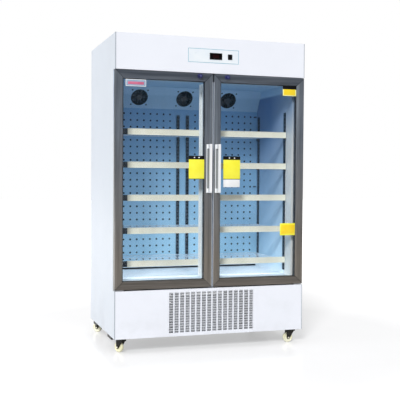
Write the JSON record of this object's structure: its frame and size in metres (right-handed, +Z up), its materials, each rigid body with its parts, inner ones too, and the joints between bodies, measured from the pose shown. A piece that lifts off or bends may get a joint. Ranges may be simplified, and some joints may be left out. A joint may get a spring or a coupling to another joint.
{
  "type": "laboratory refrigerator",
  "caption": "Tall laboratory refrigerator with two hinged glass doors, wire shelves, a top control panel, a louvred base grille and swivel casters.",
  "frame": {"origin": "on the floor under the centre of the overall size, door handles included", "axes": "+Z up, the doors face -Y, +X to the right of someone facing the doors"},
  "size_m": [1.22, 0.81, 1.905],
  "materials": {
    "cabinet_paint": "satin",
    "grey_sheet": "satin",
    "liner_paint": "satin",
    "foam": "matte",
    "plated_steel": "satin",
    "shelf_coating": "gloss",
    "ticket_plastic": "gloss",
    "black_plastic": "matte",
    "coil_metal": "satin",
    "compressor_paint": "gloss",
    "lamp_cover": "gloss",
    "door_metal": "satin",
    "door_glass": "clear",
    "seal_rubber": "matte",
    "handle_metal": "satin",
    "lock_metal": "gloss",
    "fork_metal": "satin",
    "wheel_plastic": "matte"
  },
  "bodies": {
    "cabinet": {"side_panel_left": "cabinet_paint", "side_panel_right": "cabinet_paint", "top_panel": "cabinet_paint", "rear_panel": "grey_sheet", "rear_vent_cover": "grey_sheet", "wall_insulation": "foam", "inner_liner": "liner_paint", "front_surround": "liner_paint", "centre_mullion": "liner_paint", "shelf_standards": "plated_steel", "ticket_strips": "ticket_plastic", "shelf_clips": "plated_steel", "fan_plate": "liner_paint", "fan_housings": "black_plastic", "duct_panel": "liner_paint", "evaporator_coil": "coil_metal", "interior_lamp": "lamp_cover", "header_panel": "cabinet_paint", "control_unit": "black_plastic", "kick_panel": "cabinet_paint", "grille_louvres": "grey_sheet", "base_frame": "grey_sheet", "compressor": "compressor_paint", "condenser": "coil_metal", "condenser_shroud": "grey_sheet", "hinge_brackets": "plated_steel", "caster_plates": "plated_steel", "shelf_left_1": "shelf_coating", "shelf_left_2": "shelf_coating", "shelf_left_3": "shelf_coating", "shelf_left_4": "shelf_coating", "shelf_left_5": "shelf_coating", "shelf_right_1": "shelf_coating", "shelf_right_2": "shelf_coating", "shelf_right_3": "shelf_coating", "shelf_right_4": "shelf_coating", "shelf_right_5": "shelf_coating"},
    "door_left": {"door_left_frame": "door_metal", "door_left_glass": "door_glass", "door_left_seals": "seal_rubber", "door_left_handle": "handle_metal"},
    "lock_left": {"lock_plug_left": "lock_metal"},
    "door_right": {"door_right_frame": "door_metal", "door_right_glass": "door_glass", "door_right_seals": "seal_rubber", "door_right_handle": "handle_metal"},
    "lock_right": {"lock_plug_right": "lock_metal"},
    "switch_rocker": {"switch_rocker": "black_plastic"},
    "fan_rotor_1": {"fan_rotor_1": "black_plastic"},
    "fan_rotor_2": {"fan_rotor_2": "black_plastic"},
    "fan_rotor_3": {"fan_rotor_3": "black_plastic"},
    "condenser_fan": {"condenser_fan": "black_plastic"},
    "fork_front_left": {"caster_fork_front_left": "fork_metal"},
    "wheel_front_left": {"caster_wheel_front_left": "wheel_plastic"},
    "fork_front_right": {"caster_fork_front_right": "fork_metal"},
    "wheel_front_right": {"caster_wheel_front_right": "wheel_plastic"},
    "fork_rear_left": {"caster_fork_rear_left": "fork_metal"},
    "wheel_rear_left": {"caster_wheel_rear_left": "wheel_plastic"},
    "fork_rear_right": {"caster_fork_rear_right": "fork_metal"},
    "wheel_rear_right": {"caster_wheel_rear_right": "wheel_plastic"}
  },
  "joints": [
    {"name": "door_left_hinge", "type": "hinge", "parent": "cabinet", "child": "door_left", "pos_m": [-0.596, -0.338, 1.0355], "axis": [0, 0, 1], "range_deg": [-110, 0]},
    {"name": "lock_left_turn", "type": "hinge", "parent": "door_left", "child": "lock_left", "pos_m": [-0.089, -0.36, 1.67], "axis": [0, 1, 0], "range_deg": [0, 90]},
    {"name": "door_right_hinge", "type": "hinge", "parent": "cabinet", "child": "door_right", "pos_m": [0.596, -0.338, 1.0355], "axis": [0, 0, 1], "range_deg": [0, 110]},
    {"name": "lock_right_turn", "type": "hinge", "parent": "door_right", "child": "lock_right", "pos_m": [0.089, -0.36, 1.67], "axis": [0, -1, 0], "range_deg": [0, 90]},
    {"name": "switch_rock", "type": "hinge", "parent": "cabinet", "child": "switch_rocker", "pos_m": [0.106, -0.358, 1.794], "axis": [-1, 0, 0], "range_deg": [0, 18]},
    {"name": "fan_1_spin", "type": "hinge", "parent": "cabinet", "child": "fan_rotor_1", "pos_m": [-0.316, 0.24016, 1.589], "axis": [0, -0.866, -0.5], "continuous": true},
    {"name": "fan_2_spin", "type": "hinge", "parent": "cabinet", "child": "fan_rotor_2", "pos_m": [0, 0.24016, 1.589], "axis": [0, -0.866, -0.5], "continuous": true},
    {"name": "fan_3_spin", "type": "hinge", "parent": "cabinet", "child": "fan_rotor_3", "pos_m": [0.316, 0.24016, 1.589], "axis": [0, -0.866, -0.5], "continuous": true},
    {"name": "condenser_fan_spin", "type": "hinge", "parent": "cabinet", "child": "condenser_fan", "pos_m": [0, -0.188, 0.1995], "axis": [0, -1, 0], "continuous": true},
    {"name": "caster_front_left_swivel", "type": "hinge", "parent": "cabinet", "child": "fork_front_left", "pos_m": [-0.555, -0.305, 0.0714], "axis": [0, 0, 1], "continuous": true},
    {"name": "caster_front_left_roll", "type": "hinge", "parent": "fork_front_left", "child": "wheel_front_left", "pos_m": [-0.5656, -0.28804, 0.0325], "axis": [-0.848, -0.5299, 0], "continuous": true},
    {"name": "caster_front_right_swivel", "type": "hinge", "parent": "cabinet", "child": "fork_front_right", "pos_m": [0.555, -0.305, 0.0714], "axis": [0, 0, 1], "continuous": true},
    {"name": "caster_front_right_roll", "type": "hinge", "parent": "fork_front_right", "child": "wheel_front_right", "pos_m": [0.535, -0.305, 0.0325], "axis": [0, -1, 0], "continuous": true},
    {"name": "caster_rear_left_swivel", "type": "hinge", "parent": "cabinet", "child": "fork_rear_left", "pos_m": [-0.555, 0.35, 0.0714], "axis": [0, 0, 1], "continuous": true},
    {"name": "caster_rear_left_roll", "type": "hinge", "parent": "fork_rear_left", "child": "wheel_rear_left", "pos_m": [-0.57032, 0.36286, 0.0325], "axis": [-0.6428, -0.766, 0], "continuous": true},
    {"name": "caster_rear_right_swivel", "type": "hinge", "parent": "cabinet", "child": "fork_rear_right", "pos_m": [0.555, 0.35, 0.0714], "axis": [0, 0, 1], "continuous": true},
    {"name": "caster_rear_right_roll", "type": "hinge", "parent": "fork_rear_right", "child": "wheel_rear_right", "pos_m": [0.56018, 0.36932, 0.0325], "axis": [-0.9659, 0.2588, 0], "continuous": true}
  ]
}
